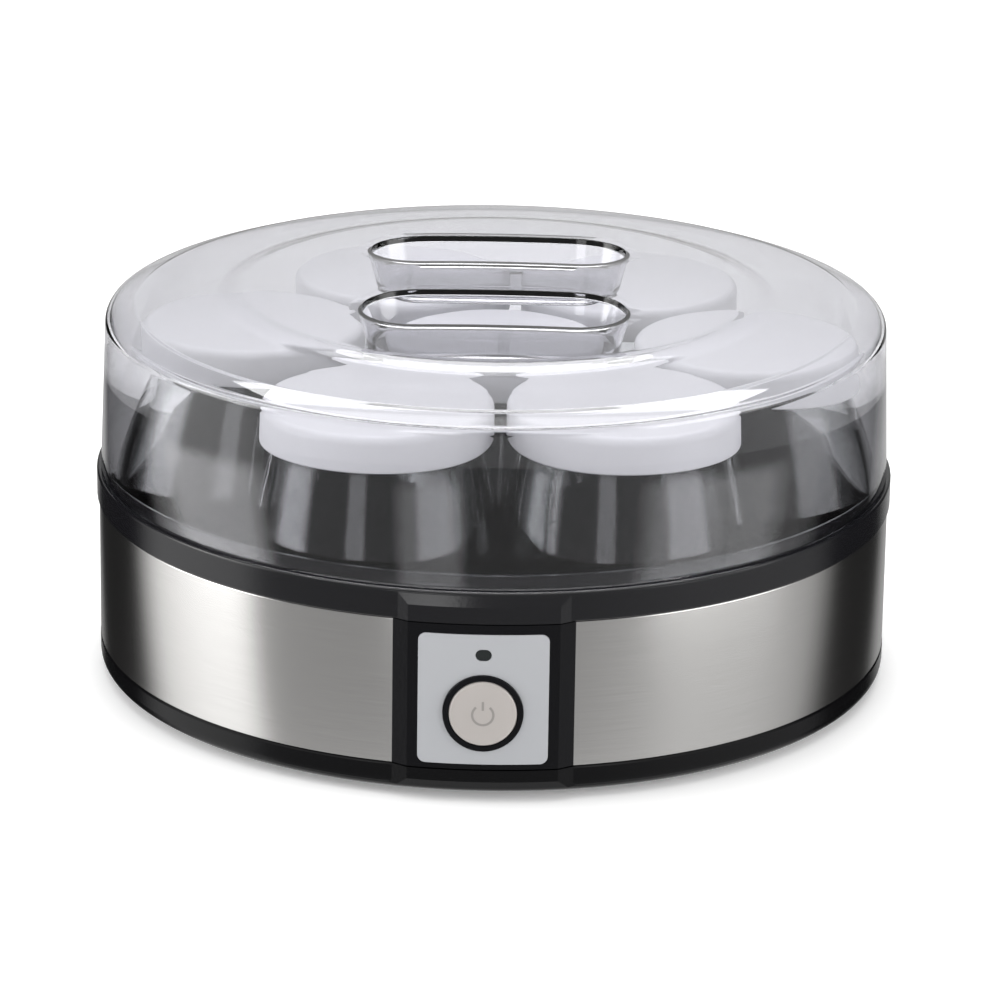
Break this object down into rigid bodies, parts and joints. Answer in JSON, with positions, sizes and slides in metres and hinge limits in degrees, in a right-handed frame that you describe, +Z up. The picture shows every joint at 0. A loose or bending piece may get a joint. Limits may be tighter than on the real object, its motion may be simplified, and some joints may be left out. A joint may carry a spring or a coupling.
{
  "type": "yogurt maker",
  "caption": "Round yogurt maker: brushed steel body with a front push button, clear domed lid with a sunken grip, and glass jars with white caps.",
  "frame": {"origin": "on the table, under the middle of the round body", "axes": "+Z up along the body's axis, -Y towards the control panel, +Y towards the cord inlet"},
  "size_m": [0.24, 0.246, 0.121],
  "materials": {
    "tub_plastic": "satin black moulded plastic",
    "band_steel": "brushed round the body",
    "base_plastic": "gloss black moulded plastic",
    "foot_rubber": "matt",
    "screw_steel": "zinc plated",
    "plate_aluminium": "rolled",
    "clamp_steel": "stamped",
    "wire_silicone": "silicone sleeve",
    "pad_felt": "glass felt",
    "thermostat_body": "moulded",
    "fuse_body": "ceramic",
    "terminal_plastic": "moulded",
    "wire_brown": "insulated wire",
    "wire_white": "insulated wire",
    "gland_rubber": "moulded",
    "bezel_plastic": "high gloss black",
    "label_grey": "printed plate",
    "window_dark": "smoked",
    "lamp_amber": "lamp",
    "board_green": "circuit board",
    "switch_black": "moulded",
    "plunger_white": "moulded",
    "button_ivory": "satin",
    "lid_clear": "clear moulded plastic",
    "jar_glass": "clear glass",
    "cap_white": "satin moulded plastic"
  },
  "bodies": {
    "base": {"tub": "tub_plastic", "steel_band": "band_steel", "base_housing": "base_plastic", "rubber_feet": "foot_rubber", "base_screws": "screw_steel", "heating_plate": "plate_aluminium", "plate_clamps": "clamp_steel", "plate_screws": "screw_steel", "heating_wire": "wire_silicone", "wire_clips": "plate_aluminium", "insulation_pad": "pad_felt", "thermostat": "thermostat_body", "thermostat_bracket": "clamp_steel", "thermal_fuse": "fuse_body", "terminal_block": "terminal_plastic", "terminal_screw": "screw_steel", "supply_wires": "wire_brown", "heater_wires": "wire_white", "cord_gland": "gland_rubber", "panel_bezel": "bezel_plastic", "label_plate": "label_grey", "indicator_window": "window_dark", "indicator_lamp": "lamp_amber", "switch_board": "board_green", "board_screws": "screw_steel", "push_switch": "switch_black"},
    "button": {"button_cap": "button_ivory", "switch_plunger": "plunger_white"},
    "lid": {"lid": "lid_clear"},
    "jar_1": {"jar_1": "jar_glass"},
    "cap_1": {"cap_1": "cap_white"},
    "jar_2": {"jar_2": "jar_glass"},
    "cap_2": {"cap_2": "cap_white"},
    "jar_3": {"jar_3": "jar_glass"},
    "cap_3": {"cap_3": "cap_white"},
    "jar_4": {"jar_4": "jar_glass"},
    "cap_4": {"cap_4": "cap_white"},
    "jar_5": {"jar_5": "jar_glass"},
    "cap_5": {"cap_5": "cap_white"},
    "jar_6": {"jar_6": "jar_glass"},
    "cap_6": {"cap_6": "cap_white"},
    "jar_7": {"jar_7": "jar_glass"},
    "cap_7": {"cap_7": "cap_white"}
  },
  "joints": [
    {"name": "lid_lift", "type": "slide", "parent": "base", "child": "lid", "axis": [0, 0, 1], "range_m": [0, 0.2]},
    {"name": "button_press", "type": "slide", "parent": "base", "child": "button", "axis": [0, 1, 0], "range_m": [0, 0.002], "stiffness_N_per_m": 400, "springref_m": -0.003},
    {"name": "jar_1_lift", "type": "slide", "parent": "base", "child": "jar_1", "axis": [0, 0, 1], "range_m": [0, 0.09]},
    {"name": "cap_1_lift", "type": "slide", "parent": "jar_1", "child": "cap_1", "axis": [0, 0, 1], "range_m": [0, 0.022]},
    {"name": "jar_2_lift", "type": "slide", "parent": "base", "child": "jar_2", "axis": [0, 0, 1], "range_m": [0, 0.09]},
    {"name": "cap_2_lift", "type": "slide", "parent": "jar_2", "child": "cap_2", "axis": [0, 0, 1], "range_m": [0, 0.022]},
    {"name": "jar_3_lift", "type": "slide", "parent": "base", "child": "jar_3", "axis": [0, 0, 1], "range_m": [0, 0.09]},
    {"name": "cap_3_lift", "type": "slide", "parent": "jar_3", "child": "cap_3", "axis": [0, 0, 1], "range_m": [0, 0.022]},
    {"name": "jar_4_lift", "type": "slide", "parent": "base", "child": "jar_4", "axis": [0, 0, 1], "range_m": [0, 0.09]},
    {"name": "cap_4_lift", "type": "slide", "parent": "jar_4", "child": "cap_4", "axis": [0, 0, 1], "range_m": [0, 0.022]},
    {"name": "jar_5_lift", "type": "slide", "parent": "base", "child": "jar_5", "axis": [0, 0, 1], "range_m": [0, 0.09]},
    {"name": "cap_5_lift", "type": "slide", "parent": "jar_5", "child": "cap_5", "axis": [0, 0, 1], "range_m": [0, 0.022]},
    {"name": "jar_6_lift", "type": "slide", "parent": "base", "child": "jar_6", "axis": [0, 0, 1], "range_m": [0, 0.09]},
    {"name": "cap_6_lift", "type": "slide", "parent": "jar_6", "child": "cap_6", "axis": [0, 0, 1], "range_m": [0, 0.022]},
    {"name": "jar_7_lift", "type": "slide", "parent": "base", "child": "jar_7", "axis": [0, 0, 1], "range_m": [0, 0.09]},
    {"name": "cap_7_lift", "type": "slide", "parent": "jar_7", "child": "cap_7", "axis": [0, 0, 1], "range_m": [0, 0.022]}
  ],
  "couplings": [
    {"joint": "jar_1_lift", "follows": "lid_lift", "ratio": 0.45},
    {"joint": "cap_1_lift", "follows": "lid_lift", "ratio": 0.11},
    {"joint": "jar_2_lift", "follows": "lid_lift", "ratio": 0.45},
    {"joint": "cap_2_lift", "follows": "lid_lift", "ratio": 0.11},
    {"joint": "jar_3_lift", "follows": "lid_lift", "ratio": 0.45},
    {"joint": "cap_3_lift", "follows": "lid_lift", "ratio": 0.11},
    {"joint": "jar_4_lift", "follows": "lid_lift", "ratio": 0.45},
    {"joint": "cap_4_lift", "follows": "lid_lift", "ratio": 0.11},
    {"joint": "jar_5_lift", "follows": "lid_lift", "ratio": 0.45},
    {"joint": "cap_5_lift", "follows": "lid_lift", "ratio": 0.11},
    {"joint": "jar_6_lift", "follows": "lid_lift", "ratio": 0.45},
    {"joint": "cap_6_lift", "follows": "lid_lift", "ratio": 0.11},
    {"joint": "jar_7_lift", "follows": "lid_lift", "ratio": 0.45},
    {"joint": "cap_7_lift", "follows": "lid_lift", "ratio": 0.11}
  ]
}
